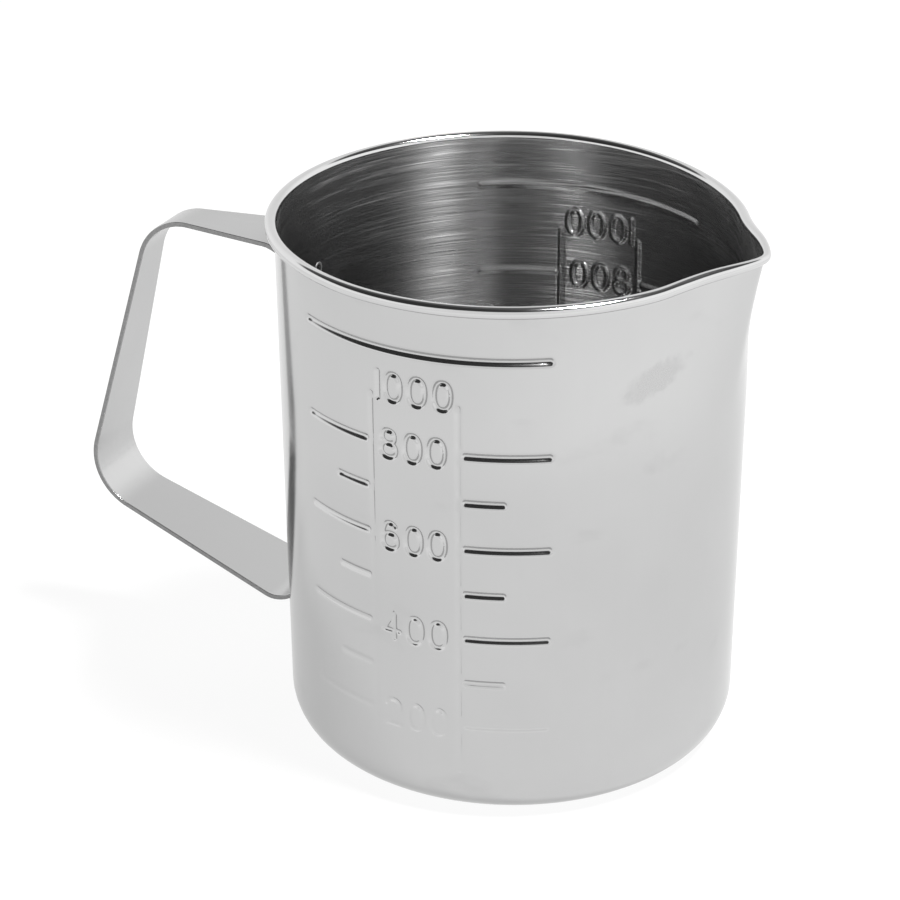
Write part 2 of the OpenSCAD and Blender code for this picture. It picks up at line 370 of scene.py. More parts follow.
def scuff_mark(bench, place, x, y, z):
    """A ragged oval patch, from 0 outside it to about 1 in its grains."""
    run = (y.math("ARCTAN2", x) - SCUFF_ANGLE) * WALL_RUN_RADIUS
    up = z - SCUFF_Z
    along = (run * math.cos(SCUFF_TILT) + up * math.sin(SCUFF_TILT)) / SCUFF_LENGTH
    across = (up * math.cos(SCUFF_TILT) - run * math.sin(SCUFF_TILT)) / SCUFF_WIDTH
    ragged = bench.noise(place, RAGGED_SCALE, 4.0) - 0.5
    grain = bench.noise(place, GRAIN_SCALE, 2.0)
    oval = along * along + across * across + ragged * 1.8
    return bench.ease(oval, *SCUFF_SPAN) * (0.3 + grain * 1.4)


def satin_outside(bench, place):
    x, y, z = bench.split(place)
    cloud = bench.noise(place, CLOUD_SCALE, 4.0)
    drag = bench.stretched((x, y, z), DRAG_SCALES, 3.0)
    rub = bench.ease(bench.stretched((x, y, z), RUB_SCALES, 5.0), *RUB_SPAN)
    scuff = scuff_mark(bench, place, x, y, z)
    share = cloud * 1.1 + drag * 0.12 - rub * 0.35 - scuff * 0.8 - 0.05
    colour = bench.grey(share, *OUTSIDE_GREYS)
    roughness = 0.10 + cloud * 0.05 + drag * 0.02 + scuff * 0.12
    return colour, roughness, bench.bump(drag * DRAG_HEIGHT + cloud * CLOUD_HEIGHT)


outside_steel = steel("satin_outside", satin_outside, CALM_EDGE)

# %% [markdown]
# The inside was brushed while the cup turned, so its scratches run round the axis. Such a surface
# spreads a lamp's light across the scratches, into an upright band. Bump alone would need scratches
# finer than a pixel, so the shader's own anisotropy makes the band, and noise drawn out round the
# axis makes the streaks in it: each leans the surface up or down and never sideways.

# %% Brushed inside
INSIDE_GREYS = 0.28, 0.46
BROAD_SCALES = 22.0, 22.0, 1300.0
FINE_SCALES = 60.0, 60.0, 6000.0
STREAK_SPAN = 0.36, 0.64
BRUSH_TILT = 2.1
BASE_TOP = 2.0 * MM
ROUND_THE_AXIS = {"Anisotropic": 1.0, "Anisotropic Rotation": 0.25}


def brushed_inside(bench, place):
    x, y, z = bench.split(place)
    ring = (x * x + y * y) ** 0.5 + z
    broad = bench.stretched((x, y, ring), BROAD_SCALES, 3.0)
    fine = bench.stretched((x, y, ring), FINE_SCALES, 3.0)
    streak = broad * 0.4 + fine * 0.6
    colour = bench.grey(bench.ease(streak, *STREAK_SPAN), *INSIDE_GREYS)
    face = bench.node("ShaderNodeNewGeometry", {}, {}, "Normal")
    up = bench.vector("NORMALIZE", bench.vector("CROSS_PRODUCT", face, bench.join(y * -1.0, x, 0.0)))
    on_wall = bench.ease(z, BASE_TOP, BASE_TOP * 2.0)
    tilt = (streak - 0.5) * BRUSH_TILT * (0.4 + on_wall * 0.6)
    leaned = bench.vector("ADD", face, bench.vector("MULTIPLY", up, bench.join(tilt, tilt, tilt)))
    roughness = 0.30 - on_wall * 0.10 + broad * 0.08
    return colour, roughness, bench.vector("NORMALIZE", leaned)


inside_steel = steel("brushed_inside", brushed_inside, ROUND_THE_AXIS)

# %% [markdown]
# The rolled rim was polished by the rolling tool. The strip has faint lines along it, and it holds
# painted light and shade: its lower half is painted a little lighter and its upper arm a little
# darker, to even out the light that falls on them. Its edges show the coarse lines of the shears, and
# the welds are spotted and dull. All four could share the wall's satin, but then nothing would tell
# them apart in an even light, so each has a short finish of its own.

# %% Bright rim, satin strip, sheared edges, dull welds
RIM_GREYS = 0.58, 0.64
RIM_CLOUD_SCALE = 60.0
RIM_CLOUD_HEIGHT = 0.002 * MM
STRIP_GREYS = 0.47, 0.57
STRIP_CLOUD_SCALE = 45.0
STRIP_DRAG_SCALES = 40.0, 2600.0, 40.0
STRIP_DRAG_HEIGHT = 0.001 * MM
STRIP_MIDDLE_Z = 70.0 * MM
PAINTED_LIGHT_PER_METRE = 7.0
EDGE_GREYS = 0.16, 0.36
SHEAR_SCALES = 2200.0, 60.0, 2200.0
SHEAR_HEIGHT = 0.01 * MM
WELD_GREYS = 0.20, 0.36
SPATTER_SCALE = 900.0
SPATTER_HEIGHT = 0.03 * MM


def bright_rim(bench, place):
    cloud = bench.noise(place, RIM_CLOUD_SCALE, 3.0)
    colour = bench.grey(cloud, *RIM_GREYS)
    return colour, 0.06 + cloud * 0.06, bench.bump(cloud * RIM_CLOUD_HEIGHT)


def satin_strip(bench, place):
    x, y, z = bench.split(place)
    cloud = bench.noise(place, STRIP_CLOUD_SCALE, 3.0)
    drag = bench.stretched((x, y, z), STRIP_DRAG_SCALES, 2.0)
    # Painted light and shade: the strip is painted lighter below its middle and darker above it.
    painted_light_and_shade = (STRIP_MIDDLE_Z - z) * PAINTED_LIGHT_PER_METRE
    colour = bench.grey(cloud * 0.6 + drag * 0.4 + painted_light_and_shade, *STRIP_GREYS)
    return colour, 0.17 + cloud * 0.08 + drag * 0.06, bench.bump(drag * STRIP_DRAG_HEIGHT)


def sheared_edge(bench, place):
    lines = bench.stretched(bench.split(place), SHEAR_SCALES, 2.0)
    colour = bench.grey(lines, *EDGE_GREYS)
    return colour, 0.32 + lines * 0.2, bench.bump(lines * SHEAR_HEIGHT)


def dull_weld(bench, place):
    spatter = bench.noise(place, SPATTER_SCALE, 4.0)
    colour = bench.grey(spatter, *WELD_GREYS)
    return colour, 0.42 + spatter * 0.25, bench.bump(spatter * SPATTER_HEIGHT)


rim_steel = steel("bright_rim", bright_rim)
strip_steel = steel("satin_strip", satin_strip)
edge_steel = steel("sheared_edge", sheared_edge)
weld_steel = steel("dull_weld", dull_weld)

# %% [markdown]
# ## Making pieces with Geometry Nodes
# A recipe is a node tree with named inputs. A mesh could be edited by hand, but a recipe can be run
# again with other sizes. Its values are set on the modifier by the sockets' identifiers before the
# piece is first evaluated. The result is then settled: it becomes a plain mesh, and the modifiers go.

# %% Start and end a recipe
SOCKETS = {
    float: "NodeSocketFloat",
    int: "NodeSocketInt",
    bpy.types.Object: "NodeSocketObject",
    bpy.types.Material: "NodeSocketMaterial",
}


def new_recipe(name, values):
    """A geometry tree with one input for each value, and its bench."""
    tree = bpy.data.node_groups.new(name, "GeometryNodeTree")
    tree.interface.new_socket("Geometry", in_out="INPUT", socket_type="NodeSocketGeometry")
    for label, value in values.items():
        tree.interface.new_socket(label, in_out="INPUT", socket_type=SOCKETS[type(value)])
    tree.interface.new_socket("Geometry", in_out="OUTPUT", socket_type="NodeSocketGeometry")
    bench = Bench(tree)
    taken = bench.node("NodeGroupInput", {}, {}, "Geometry")
    return tree, bench, taken, {label: taken.beside(label) for label in values}


def close_recipe(bench, shape, material, where=True):
    """Ends a tree the way each recipe ends."""
    whole = bench.node("GeometryNodeRealizeInstances", {}, {"Geometry": shape})
    smooth = bench.node("GeometryNodeSetShadeSmooth", {}, {"Geometry": whole})
    finish = {"Geometry": smooth, "Selection": where, "Material": material}
    dressed = bench.node("GeometryNodeSetMaterial", {}, finish)
    bench.node("NodeGroupOutput", {}, {"Geometry": dressed})


print("recipes take", len(SOCKETS), "kinds of input")

# %% Follow a recipe and settle
def follow(thing, tree, values):
    """Puts a recipe on a piece, with the values of its inputs."""
    modifier = thing.modifiers.new(tree.name, "NODES")
    modifier.node_group = tree
    for item in tree.interface.items_tree:
        if item.in_out == "INPUT" and item.name in values:
            modifier[item.identifier] = values[item.name]


def settle(thing):
    """Makes a piece and its modifiers one plain mesh."""
    bpy.context.view_layer.update()
    grown = thing.evaluated_get(bpy.context.evaluated_depsgraph_get())
    mesh = bpy.data.meshes.new_from_object(grown)
    thing.modifiers.clear()
    thing.data = mesh
    mesh.name = thing.name
    print(thing.name, "has", len(mesh.polygons), "faces")
    return mesh


print("pieces can follow a recipe")

# %% [markdown]
# ## The cup: its section
# A presser draws the cup over a round die, so one line describes it: from the middle of the base,
# round the corner, up the wall and over the roll of the rim. The line is the middle of the sheet.
# It could be spun round the axis, but the spout and the scale break the round shape, so the line is
# kept as a curve and the recipe below reads points off it by their distance along the sheet.

# %% Sizes of the section
SHEET = 0.7 * MM
HALF_SHEET = SHEET / 2
BEAD = 1.4 * MM
FLARE = 1.0 * MM
CORNER = 10.0 * MM
CURL_GAP = 0.2 * MM
_, cup_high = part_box("cup")
jug_height = cup_high.z
rim_radius = cup_high.y
bead_z = jug_height - BEAD
bead_axis = rim_radius - BEAD
wall_lean = FLARE / jug_height
wall_foot = bead_axis - BEAD + SHEET - wall_lean * bead_z
curl_end = -math.acos(-(BEAD - SHEET - CURL_GAP) / BEAD)


def wall_radius(z):
    """Outside radius of the round wall."""
    return wall_foot + wall_lean * z


corner_axis = wall_radius(CORNER) - CORNER
print("jug is", round(jug_height / MM, 1), "mm high and", round(rim_radius / MM, 1), "mm in radius")

# %% Section line
PATCH_LOW = 11.0 * MM
SPOUT_LOW = 88.0 * MM
PATCH_HIGH = 119.0 * MM
BASE_STEP = 5.0 * MM
CORNER_STEP = math.radians(7)
CURL_STEP = math.radians(11)


def steps(start, stop, size):
    """Even steps from start up to, but not including, stop."""
    count = max(1, round(abs(stop - start) / size))
    return [start + (stop - start) * i / count for i in range(count)]


def round_line(axis_r, axis_z, radius, angles):
    return [(axis_r + radius * math.cos(a), axis_z + radius * math.sin(a)) for a in angles]


wall_spans = [
    (CORNER, PATCH_LOW, 1.0 * MM),
    (PATCH_LOW, SPOUT_LOW, 2.4 * MM),
    (SPOUT_LOW, PATCH_HIGH, 1.5 * MM),
    (PATCH_HIGH, bead_z, 1.0 * MM),
]
corner_turns = steps(-math.pi / 2, 0.0, CORNER_STEP)
curl_turns = steps(math.pi, curl_end, CURL_STEP) + [curl_end]
base_line = [(r, HALF_SHEET) for r in steps(0.0, corner_axis, BASE_STEP)]
corner_line = round_line(corner_axis, CORNER, CORNER - HALF_SHEET, corner_turns)
wall_line = [(wall_radius(z) - HALF_SHEET, z) for span in wall_spans for z in steps(*span)]
curl_line = round_line(bead_axis, bead_z, BEAD - HALF_SHEET, curl_turns)
section = base_line + corner_line + wall_line + curl_line
hops = [math.dist(a, b) for a, b in zip(section, section[1:])]
along_sheet = np.concatenate([[0.0], np.cumsum(hops)])
curl_start = along_sheet[-len(curl_line)]
wall_start = len(base_line) + len(corner_line)


def sheet_at(z):
    """Distance along the sheet of a height on the wall."""
    ways = along_sheet[wall_start:wall_start + len(wall_line)]
    return float(np.interp(z, [p[1] for p in wall_line], ways))


print("section line is", round(along_sheet[-1] / MM, 1), "mm long with", len(section), "points")

# %% Section as a curve
section_curve = bpy.data.curves.new("section_line", "CURVE")
section_curve.dimensions = "3D"
spline = section_curve.splines.new("POLY")
spline.points.add(len(section) - 1)
for point, (r, z) in zip(spline.points, section):
    point.co = (r, 0.0, z, 1.0)
section_line = stand_in_scene("section_line", section_curve)
print("curve", section_line.name, "is ready to be read")

# %% [markdown]
# ## The scale: strokes of the press tool
# The scale is pressed from outside: a line across at the full mark, long lines at the even hundreds,
# short ones between, two upright lines and plain numbers. Each is a stroke, a line that the tool
# follows, laid out flat as on an unrolled wall: the distance round the wall and the height. The
# numbers could be set in a typeface, but a typeface gives outlines, and a press tool follows the
# middle of each stroke.

# %% Digits as strokes, in shares of their width and height
FULLNESS = 0.86
ARC_STEP = 14
LEAST_POINTS = 8


def arc(middle_x, middle_y, width, height, start, stop):
    """Part of an oval that is a little fuller than an ellipse."""
    count = max(LEAST_POINTS, int(abs(stop - start) / ARC_STEP))
    turns = np.linspace(math.radians(start), math.radians(stop), count)
    xs = middle_x + width / 2 * np.sign(np.cos(turns)) * np.abs(np.cos(turns)) ** FULLNESS
    ys = middle_y + height / 2 * np.sign(np.sin(turns)) * np.abs(np.sin(turns)) ** FULLNESS
    return list(zip(xs, ys))


DIGITS = {
    "0": [arc(0, 0, 1, 1, 0, 360)],
    "1": [[(0, -0.5), (0, 0.5)]],
    "2": [arc(0, 0.22, 1, 0.56, 165, -28) + [(-0.5, -0.5), (0.5, -0.5)]],
    "4": [[(0.2, -0.5), (0.2, 0.5), (-0.55, -0.2), (0.55, -0.2)]],
    "6": [arc(0, -0.2, 1, 0.6, 0, 360), arc(0, 0, 1, 1, 180, 48)],
    "8": [arc(0, 0.26, 0.84, 0.48, 0, 360), arc(0, -0.24, 1, 0.52, 0, 360)],
}
print("strokes of each digit:", {digit: len(strokes) for digit, strokes in DIGITS.items()})

# %% Lay out the scale
FULL_Z = 115.3 * MM
MM_PER_ML = 0.1129
LINE_START = 11.9 * MM
LONG_LINE = 18.4 * MM
SHORT_LINE = 8.4 * MM
UPRIGHT = 10.4 * MM
UPRIGHT_LOW = 13.0 * MM
UPRIGHT_HIGH = 104.0 * MM
DIGIT_HEIGHT = 6.4 * MM
DIGIT_WIDTH = 3.7 * MM
FULL_NUMBER_Z = 106.4 * MM
HUNDREDS_RUN = [-6.0 * MM, -0.1 * MM, 5.5 * MM]
THOUSAND_RUN = [-8.5 * MM, -4.7 * MM, 1.1 * MM, 6.9 * MM]


def mark_z(ml):
    return FULL_Z - (1000 - ml) * MM_PER_ML * MM


def line_strokes():
    reach = LINE_START + LONG_LINE
    strokes = [[(-reach, FULL_Z), (reach, FULL_Z)]]
    for ml in range(200, 900, 100):
        end = LINE_START + (LONG_LINE if ml % 200 == 0 else SHORT_LINE)
        for side in (-1, 1):
            strokes.append([(side * LINE_START, mark_z(ml)), (side * end, mark_z(ml))])
    return strokes


def number_strokes():
    strokes = []
    for ml in (200, 400, 600, 800, 1000):
        middle_z = FULL_NUMBER_Z if ml == 1000 else mark_z(ml)
        for digit, run in zip(str(ml), THOUSAND_RUN if ml == 1000 else HUNDREDS_RUN):
            for stroke in DIGITS[digit]:
                strokes.append([(run + x * DIGIT_WIDTH, middle_z + y * DIGIT_HEIGHT) for x, y in stroke])
    return strokes


def upright_strokes():
    return [[(side * UPRIGHT, UPRIGHT_LOW), (side * UPRIGHT, UPRIGHT_HIGH)] for side in (-1, 1)]


print("the 200 mark stands at", round(mark_z(200) / MM, 1), "mm")

# %% Three kinds of mark
Marks = namedtuple("Marks", "strokes half_width depth step")
scale = {
    "lines": Marks(line_strokes(), half_width=1.20 * MM, depth=0.88 * MM, step=1.2 * MM),
    "numbers": Marks(number_strokes(), half_width=0.90 * MM, depth=0.74 * MM, step=0.4 * MM),
    "uprights": Marks(upright_strokes(), half_width=1.00 * MM, depth=0.48 * MM, step=1.6 * MM),
}
print("press tool strokes:", {name: len(marks.strokes) for name, marks in scale.items()})

# %% Press tools on the unrolled sheet
SCALE_ANGLES = [math.radians(-90), math.radians(90)]


def flat(stroke, angle):
    """A stroke on the unrolled sheet, round the scale at this angle."""
    return [(run + angle * WALL_RUN_RADIUS, sheet_at(z)) for run, z in stroke]


def press_tool(name, strokes):
    """A mesh of the strokes' edges, flat on the unrolled sheet."""
    points = []
    edges = []
    for angle in SCALE_ANGLES:
        for stroke in strokes:
            first = len(points)
            points += [(run, s, 0.0) for run, s in flat(stroke, angle)]
            edges += [(i, i + 1) for i in range(first, len(points) - 1)]
    return new_thing("tool_" + name, points, edges)


tools = {name: press_tool(name, marks.strokes) for name, marks in scale.items()}
print("tool edges:", {name: len(tool.data.edges) for name, tool in tools.items()})

# %% [markdown]
# ## The blank: a flat net of the sheet
# Before it is formed, the cup is a flat net: distance round the wall one way, distance along the
# section the other way. A net fine enough for the digits everywhere would be far too heavy, so most
# of it is plain quads, finer at the spout, and two patches under the scales are filled with
# triangles that crowd along the strokes.

# %% Columns and rows of the net
PATCH_HALF = math.radians(36)
END_ROW = 0.5 * MM
SLACK = 1e-7
column_spans = [(-180, -54, 2.25), (-54, -36, 1.8), (-36, 36, 1.0), (36, 54, 1.8), (54, 180, 2.25)]
column_angles = [a for span in column_spans for a in steps(*span)] + [180]
columns = [math.radians(a) * WALL_RUN_RADIUS for a in column_angles]
rows = [*along_sheet, along_sheet[-1] + END_ROW]
patch_low = sheet_at(PATCH_LOW) - SLACK
patch_high = sheet_at(PATCH_HIGH) + SLACK
patch_rows = [s for s in along_sheet if patch_low <= s <= patch_high]
patch_spans = [
    ((angle - PATCH_HALF) * WALL_RUN_RADIUS, (angle + PATCH_HALF) * WALL_RUN_RADIUS)
    for angle in SCALE_ANGLES
]
net_points = []
net_faces = []
net_index = {}


def net_point(run, s):
    """Index of a point of the net, which is added if it is new."""
    key = (round(run / SLACK), round(s / SLACK))
    if key not in net_index:
        net_index[key] = len(net_points)
        net_points.append((run, s, 0.0))
    return net_index[key]


def in_patch(run, s):
    across = any(low < run < high for low, high in patch_spans)
    return across and patch_rows[0] < s < patch_rows[-1]


for left, right in zip(columns, columns[1:]):
    for low, high in zip(rows, rows[1:]):
        if not in_patch((left + right) / 2, (low + high) / 2):
            corners = [(left, low), (right, low), (right, high), (left, high)]
            net_faces.append([net_point(*corner) for corner in corners])
print("plain part of the net has", len(net_faces), "quads")

# %% A sieve for points
FILL_STEP = 2.2 * MM


class Sieve:
    """Keeps points that stand far enough from those kept before."""

    def __init__(self, cell):
        self.cell = cell
        self.cells = {}
        self.points = []

    def add(self, point, gap):
        column = int(point[0] // self.cell)
        row = int(point[1] // self.cell)
        around = [(column + i, row + j) for i in (-1, 0, 1) for j in (-1, 0, 1)]
        near = (p for key in around for p in self.cells.get(key, ()))
        if all(math.dist(point, p) >= gap for p in near):
            self.cells.setdefault((column, row), []).append(point)
            self.points.append(point)


print("points of the patches stand up to", round(FILL_STEP / MM, 1), "mm apart")

# %% Points along a stroke
CAP_SHARES = [0.25, 0.5, 0.75, 1.0, 1.3]
ROW_SHARES = [0.0] + [sign * share for share in CAP_SHARES for sign in (-1, 1)]
CAP_TURNS = [math.radians(a) for a in (-70, -35, 0, 35, 70)]
GAP_SHARE = 0.24


def walk(stroke, step):
    """Points along a stroke, each with its heading."""
    stroke = np.array(stroke)
    hops = np.hypot(*np.diff(stroke, axis=0).T)
    reach = np.concatenate([[0.0], np.cumsum(hops)])
    places = np.linspace(0.0, reach[-1], max(2, round(reach[-1] / step) + 1))
    xs = np.interp(places, reach, stroke[:, 0])
    ys = np.interp(places, reach, stroke[:, 1])
    headings = np.arctan2(np.gradient(ys), np.gradient(xs))
    return list(zip(xs, ys, headings))


def crowd(sieve, stroke, half_width, step):
    """Rows of points beside a stroke and round its two ends."""
    path = walk(stroke, step)
    gap = GAP_SHARE * half_width
    for share in ROW_SHARES:
        side = share * half_width
        for x, y, heading in path:
            sieve.add((x - side * math.sin(heading), y + side * math.cos(heading)), gap)
    for (x, y, heading), back in ((path[0], math.pi), (path[-1], 0.0)):
        for share in CAP_SHARES:
            side = share * half_width
            for turn in CAP_TURNS:
                way = heading + back + turn
                sieve.add((x + side * math.cos(way), y + side * math.sin(way)), gap)


print("each stroke gets", len(ROW_SHARES), "rows of points")

# %% Patches under the scales
FILL_SHARE = 0.6
MERGE = 1e-9


def fill_patch(angle, span):
    low, high = patch_rows[0], patch_rows[-1]
    sieve = Sieve(FILL_STEP)
    edge_runs = [run for run in columns if span[0] - SLACK <= run <= span[1] + SLACK]
    for run in edge_runs:
        sieve.add((run, low), 0.0)
        sieve.add((run, high), 0.0)
    for s in patch_rows[1:-1]:
        sieve.add((edge_runs[0], s), 0.0)
        sieve.add((edge_runs[-1], s), 0.0)
    for marks in scale.values():
        for stroke in marks.strokes:
            crowd(sieve, flat(stroke, angle), marks.half_width, marks.step)
    for run in steps(span[0] + FILL_STEP / 2, span[1], FILL_STEP):
        for s in steps(low + FILL_STEP / 2, high, FILL_STEP):
            sieve.add((run, s), FILL_SHARE * FILL_STEP)
    made = delaunay_2d_cdt([Vector(p) for p in sieve.points], [], [], 0, MERGE)
    for face in made[2]:
        net_faces.append([net_point(*made[0][i]) for i in face])
    print("patch at", round(math.degrees(angle)), "degrees has", len(made[2]), "triangles")


for angle, span in zip(SCALE_ANGLES, patch_spans):
    fill_patch(angle, span)

# %% [markdown]
# ## Forming the cup
# One recipe presses the scale, rolls the net round the axis and pulls the spout. The press depth
# falls off as a cosine bell with the distance from the nearest stroke, and the tool bit less at the
# foot of the wall, above all in the left half of each scale. The spout is a soft pointed hump on
# the rim, drawn out of the metal beside it: the rim comes in and dips a little there, and the roll
# is thinner at the tip. All of that fades down the wall. Thickening one pressed skin would fold it
# in the tight grooves, so the recipe forms the outer and the inner face of the sheet one by one and
# sews them at the end of the roll.

# %% Recipe for the cup
cup_sizes = {
    "Wall run radius": WALL_RUN_RADIUS,
    "Bead axis radius": bead_axis,
    "Bead height": bead_z,
    "Curl start": float(curl_start),
    "Sheet end": float(along_sheet[-1]) + END_ROW / 2,
    "Half sheet": HALF_SHEET,
    "Spout reach": 4.7 * MM,
    "Spout half width": 16.0 * MM,
    "Spout tip round": 2.1 * MM,
    "Spout side round": 6.9 * MM,
    "Spout foot": 84.5 * MM,
    "Spout full": jug_height - 2 * BEAD,
    "Rim draw": 2.8 * MM,
    "Rim dip": 1.1 * MM,
    "Tip pinch": 0.3,
    "Section": section_line,
    "Outside": outside_steel,
    "Inside": inside_steel,
    "Rim": rim_steel,
}
for name, marks in scale.items():
    cup_sizes[name + " tool"] = tools[name]
    cup_sizes[name + " half width"] = marks.half_width
    cup_sizes[name + " depth"] = marks.depth
cup_recipe, bench, blank, size = new_recipe("form_cup", cup_sizes)
run, sheet_way, _ = bench.split(bench.node("GeometryNodeInputPosition"))
angle = run / size["Wall run radius"]
section_shape = bench.node("GeometryNodeObjectInfo", {}, {"Object": size["Section"]}, "Geometry")
spot = {"Curves": section_shape, "Length": sheet_way}
on_section = bench.node("GeometryNodeSampleCurve", {"mode": "LENGTH"}, spot, "Position")
section_r, _, section_z = bench.split(on_section)
heading_r, _, heading_z = bench.split(on_section.beside("Tangent"))
print("cup recipe has", len(cup_sizes), "inputs")

# %% [markdown]
# The real tool pressed unevenly. Each kind of mark has three heights: where it starts, and where it
# has its full depth in the right and in the left half of the scale. One depth for all would be
# simpler, but the lowest marks are faint on the real jug.

# %% Press the strokes
FADES = {
    "lines": (6.0 * MM, 54.0 * MM, 94.0 * MM),
    "numbers": (-15.0 * MM, 78.0 * MM, 84.0 * MM),
    "uprights": (5.0 * MM, 20.0 * MM, 110.0 * MM),
}
beside_scale = run - run.math("SIGN") * size["Wall run radius"] * math.pi / 2
left_half = beside_scale.math("LESS_THAN", 0.0)
pressed = None
for name in scale:
    tool_shape = bench.node("GeometryNodeObjectInfo", {}, {"Object": size[name + " tool"]}, "Geometry")
    away = bench.node("GeometryNodeProximity", {"target_element": "EDGES"}, {0: tool_shape}, "Distance")
    share = (away / size[name + " half width"]).math("MINIMUM", 1.0)
    depth = ((share * math.pi).math("COSINE") + 1.0) * 0.5 * size[name + " depth"]
    fade_low, full_right, full_left = FADES[name]
    full_from = full_right + left_half * (full_left - full_right)
    depth = depth * bench.ease(section_z, fade_low, full_from)
    pressed = depth if pressed is None else pressed.math("MAXIMUM", depth)
half_sheet = size["Half sheet"] * sheet_way.math("LESS_THAN", size["Sheet end"])
print("pressing brings the recipe to", len(cup_recipe.nodes), "nodes")

# %% Pull the spout
LEAN_POWER = 1.75
DRAW_SPAN = math.radians(39.5), math.radians(109)
DIP_RISE = math.radians(7), math.radians(32)
DIP_FALL = math.radians(38), math.radians(129)
PINCH_ANGLE = math.radians(9)
aside = angle.math("ABSOLUTE")
across = aside.math("MINIMUM", math.pi / 2).math("SINE") * size["Bead axis radius"]
tip = size["Spout tip round"]
soft = size["Spout side round"]


def side_line(run_in):
    """Height of the spout's plan above the rim: straight sides with a soft foot."""
    left = size["Spout half width"] - run_in
    foot = (left + soft).math("MAXIMUM", 0.0).math("MINIMUM", soft * 2.0)
    return foot * foot / (soft * 4.0) + (left - soft).math("MAXIMUM", 0.0)


hump = side_line((across * across + tip * tip) ** 0.5 - tip) / side_line(0.0)
climb = (section_z - size["Spout foot"]) / (size["Spout full"] - size["Spout foot"])
lean = climb.math("MAXIMUM", 0.0).math("MINIMUM", 1.0) ** LEAN_POWER
draw = size["Rim draw"] * bench.ease(aside, *DRAW_SPAN, 1.0, 0.0)
shift = ((size["Spout reach"] + size["Rim draw"]) * hump - draw) * lean
dip = size["Rim dip"] * bench.ease(aside, *DIP_RISE) * bench.ease(aside, *DIP_FALL, 1.0, 0.0) * lean
from_tip = aside / PINCH_ANGLE
pinch = size["Tip pinch"] * (from_tip * from_tip * -1.0).math("EXPONENT") * lean
print("the spout brings the recipe to", len(cup_recipe.nodes), "nodes")

# %% Roll and sew the two faces
RIDGE_SHARE = 0.65
SEW_GAP = 0.02 * MM
RIM_LEAD = 0.4 * MM
in_curl = sheet_way.math("GREATER_THAN", size["Curl start"])
keep = {"Geometry": blank, "Name": "along_sheet", "Value": sheet_way}
kept = bench.node("GeometryNodeStoreNamedAttribute", {"data_type": "FLOAT"}, keep)


def form_face(offset, material):
    """One face of the sheet, at an offset from its middle."""
    r = section_r + heading_z * offset
    z = section_z - heading_r * offset
    r = r + shift + pinch * (size["Bead axis radius"] - r)
    z = z - dip + pinch * in_curl * (size["Bead height"] - z)
    place = bench.join(r * angle.math("COSINE"), r * angle.math("SINE"), z)
    rolled = bench.node("GeometryNodeSetPosition", {}, {"Geometry": kept, "Position": place})
    return bench.node("GeometryNodeSetMaterial", {}, {"Geometry": rolled, "Material": material})


outer = form_face(half_sheet - pressed, size["Outside"])
inner = form_face(half_sheet * -1.0 - pressed * RIDGE_SHARE, size["Inside"])
turned = bench.node("GeometryNodeFlipFaces", {}, {"Mesh": inner})
both = bench.node("GeometryNodeJoinGeometry", {}, {"Geometry": [outer, turned]})
sewn = bench.node("GeometryNodeMergeByDistance", {}, {"Geometry": both, "Distance": SEW_GAP})
on_rim = bench.named("along_sheet").math("GREATER_THAN", size["Curl start"] - RIM_LEAD)
close_recipe(bench, sewn, size["Rim"], on_rim)
print("cup recipe has", len(cup_recipe.nodes), "nodes")

# %% Form the cup
cup = new_thing("cup_shell", net_points, [], net_faces)
follow(cup, cup_recipe, cup_sizes)
cup_mesh = settle(cup)
cup_mesh.attributes.remove(cup_mesh.attributes["along_sheet"])
for thing in (section_line, *tools.values()):
    bpy.data.objects.remove(thing)
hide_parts("cup")
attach(cup, "root")
print("cup finishes:", [material.name for material in cup_mesh.materials])

# %% [markdown]
# ## The handle
# The handle is one strip, bent four times and welded at both ends, where it follows the round wall.
# It is wide at the wall and narrow at the upper outer bend. It could be extruded from an outline, but
# the width changes on the way, so a recipe bends a path with round corners and lays a grid along it.
# Each corner of the path has its distance from the axis, its height, its bend radius and its width.

# %% Corners of the strip
STRIP = 1.2 * MM
SEAT_PLAY = 0.02 * MM
LOW_ARM_Z = 18.6 * MM
UPPER_REACH = 38.7 * MM
LOWER_REACH = 59.2 * MM
LOWER_BEND_Z = 40.5 * MM
TOP_TAB = 13.5 * MM
LOW_TAB = 14.9 * MM
TOP_WIDTH = 16.6 * MM
FOOT_WIDTH = 22.2 * MM
handle_low, handle_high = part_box("handle")
arm_z = handle_high.z - STRIP / 2


def seat_radius(z):
    return wall_radius(z) + SEAT_PLAY + STRIP / 2


strip_corners = [
    (seat_radius(arm_z - TOP_TAB), arm_z - TOP_TAB, 0.0, TOP_WIDTH),
    (seat_radius(arm_z), arm_z, 6.5 * MM, TOP_WIDTH),
    (seat_radius(arm_z) + UPPER_REACH, arm_z, 13.0 * MM, 10.4 * MM),
    (seat_radius(LOWER_BEND_Z) + LOWER_REACH, LOWER_BEND_Z, 13.5 * MM, 17.3 * MM),
    (seat_radius(LOW_ARM_Z), LOW_ARM_Z, 5.5 * MM, FOOT_WIDTH),
    (seat_radius(LOW_ARM_Z + LOW_TAB), LOW_ARM_Z + LOW_TAB, 0.0, FOOT_WIDTH),
]
corner_points = [(-r, 0.0, z) for r, z, _, _ in strip_corners]
handle = new_thing("handle_strip", corner_points, [(i, i + 1) for i in range(len(corner_points) - 1)])
for label, column in (("bend", 2), ("width", 3)):
    values = handle.data.attributes.new(label, "FLOAT", "POINT")
    values.data.foreach_set("value", [row[column] for row in strip_corners])
print("strip goes out to", round(max(r for r, _, _, _ in strip_corners) / MM, 1), "mm")

